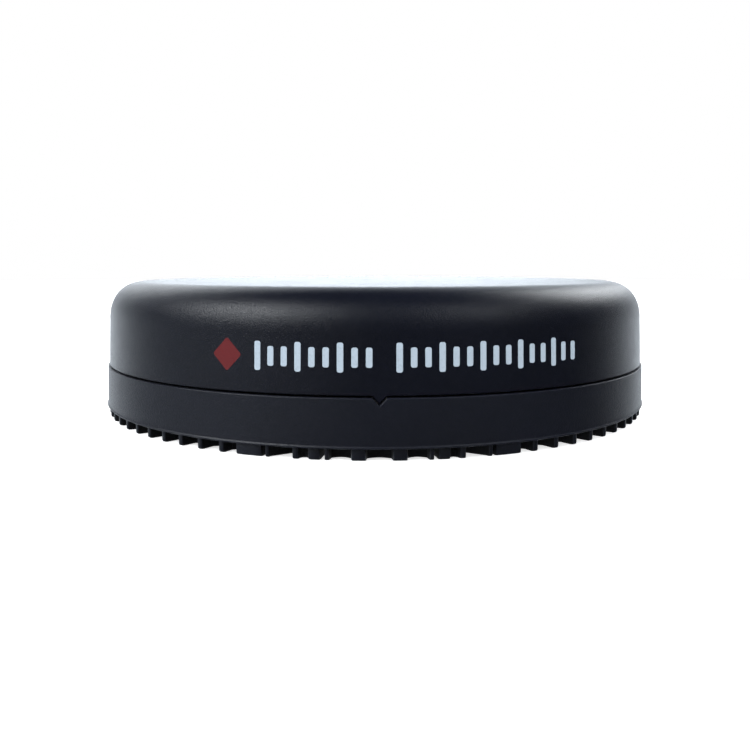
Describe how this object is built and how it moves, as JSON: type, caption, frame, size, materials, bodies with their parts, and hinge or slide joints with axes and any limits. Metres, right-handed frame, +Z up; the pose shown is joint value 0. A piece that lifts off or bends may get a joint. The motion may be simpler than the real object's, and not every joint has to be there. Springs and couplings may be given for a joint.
{
  "type": "putting practice puck",
  "caption": "Low round practice puck: soft-shouldered black cap over a treaded rubber shoe, weighted inside by a steel disc.",
  "frame": {"origin": "under the centre, at the level of the tread tips that the puck stands on", "axes": "+Z up along the puck's axis; the V-shaped key on the cap's rim faces -Y"},
  "size_m": [0.108, 0.108, 0.0254],
  "materials": {
    "cap_plastic": "satin black moulded plastic with a fine spark texture and small printed marks in white and red",
    "shoe_rubber": "matte black moulded rubber, slightly duller than the cap",
    "tray_plastic": "dark grey unpolished moulded plastic",
    "foam": "closed-cell foam, matte, with fine pores",
    "weight_steel": "blanked steel, zinc plated, with a faint turned grain",
    "zinc_steel": "bright zinc plating"
  },
  "bodies": {
    "base": {"rubber_shoe": "shoe_rubber", "base_tray": "tray_plastic", "weight_pad": "foam", "weight_disc": "weight_steel", "screw_1": "zinc_steel", "screw_2": "zinc_steel", "screw_3": "zinc_steel", "screw_4": "zinc_steel", "washer_1": "zinc_steel", "washer_2": "zinc_steel", "washer_3": "zinc_steel", "washer_4": "zinc_steel"},
    "cap": {"top_cap": "cap_plastic", "cap_pad": "foam"}
  },
  "joints": [
    {"name": "cap_lift", "type": "slide", "parent": "base", "child": "cap", "axis": [0, 0, 1], "range_m": [0, 0.03]}
  ]
}
